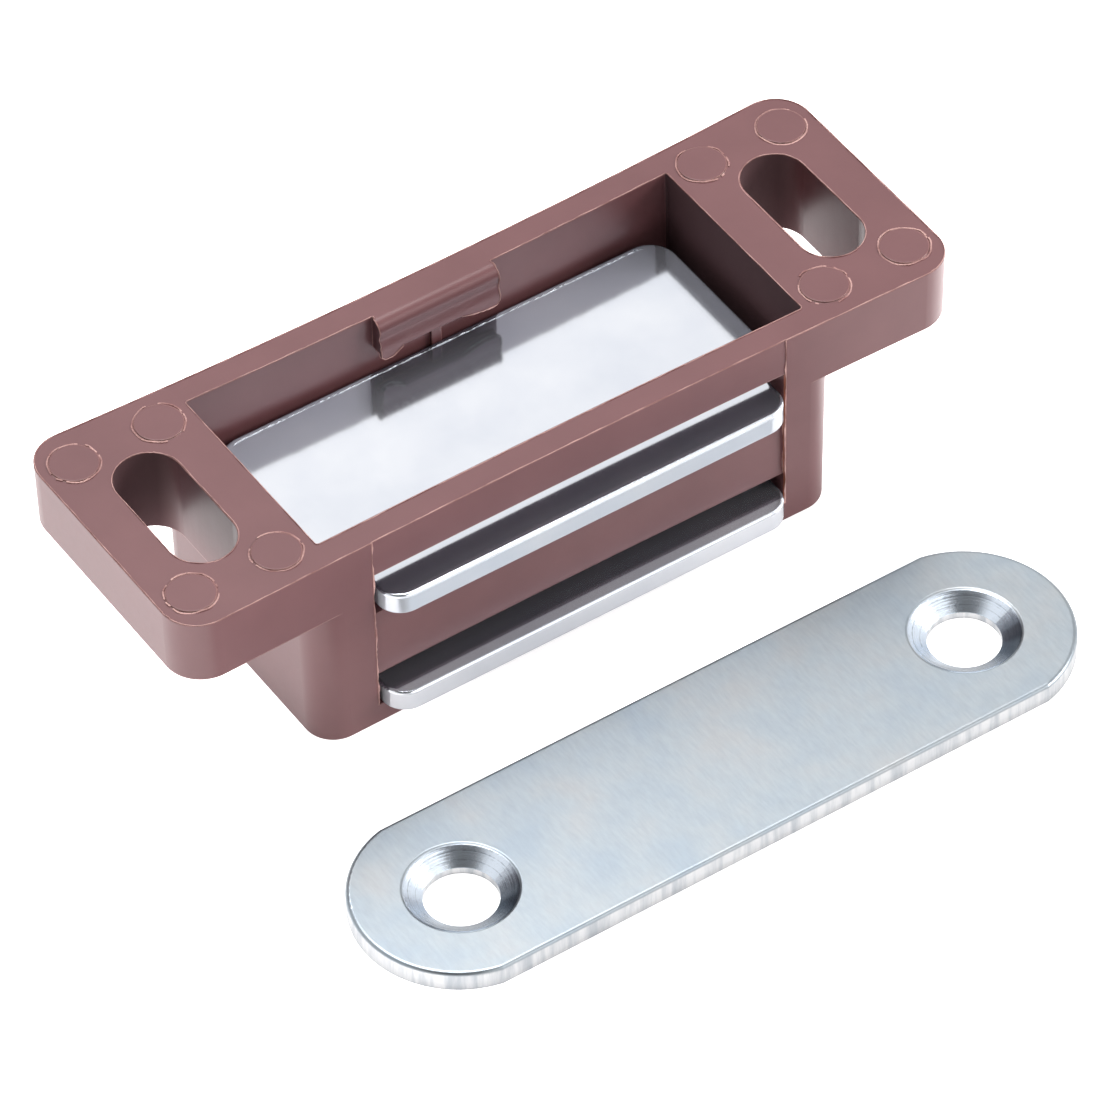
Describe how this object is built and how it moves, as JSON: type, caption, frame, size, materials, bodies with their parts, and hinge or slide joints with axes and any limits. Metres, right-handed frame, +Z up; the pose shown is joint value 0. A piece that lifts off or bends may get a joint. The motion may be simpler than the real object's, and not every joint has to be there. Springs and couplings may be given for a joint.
{
  "type": "magnetic catch",
  "caption": "Moulded magnetic cabinet catch with a pocketed box housing, slotted ears and steel pole plates round a magnet, with its flat countersunk strike plate.",
  "frame": {"origin": "Middle of the catch and its strike plate together, on the surface they lie on.", "axes": "+X runs along both pieces, from one ear to the other. +Y points from the strike plate to the catch. +Z points up, out of the mounting face."},
  "size_m": [0.0582, 0.0416, 0.0162],
  "materials": {
    "brown_plastic": "satin to gloss moulded brown, light at the thin edges",
    "pole_steel": "bright plated, smooth",
    "ferrite": "dull dark grey",
    "zinc_plated_steel": "bright blue zinc plating with a fine cross grain"
  },
  "bodies": {
    "root": {"housing": "brown_plastic", "upper_pole_plate": "pole_steel", "lower_pole_plate": "pole_steel", "magnet": "ferrite", "strike_plate": "zinc_plated_steel"}
  },
  "joints": []
}
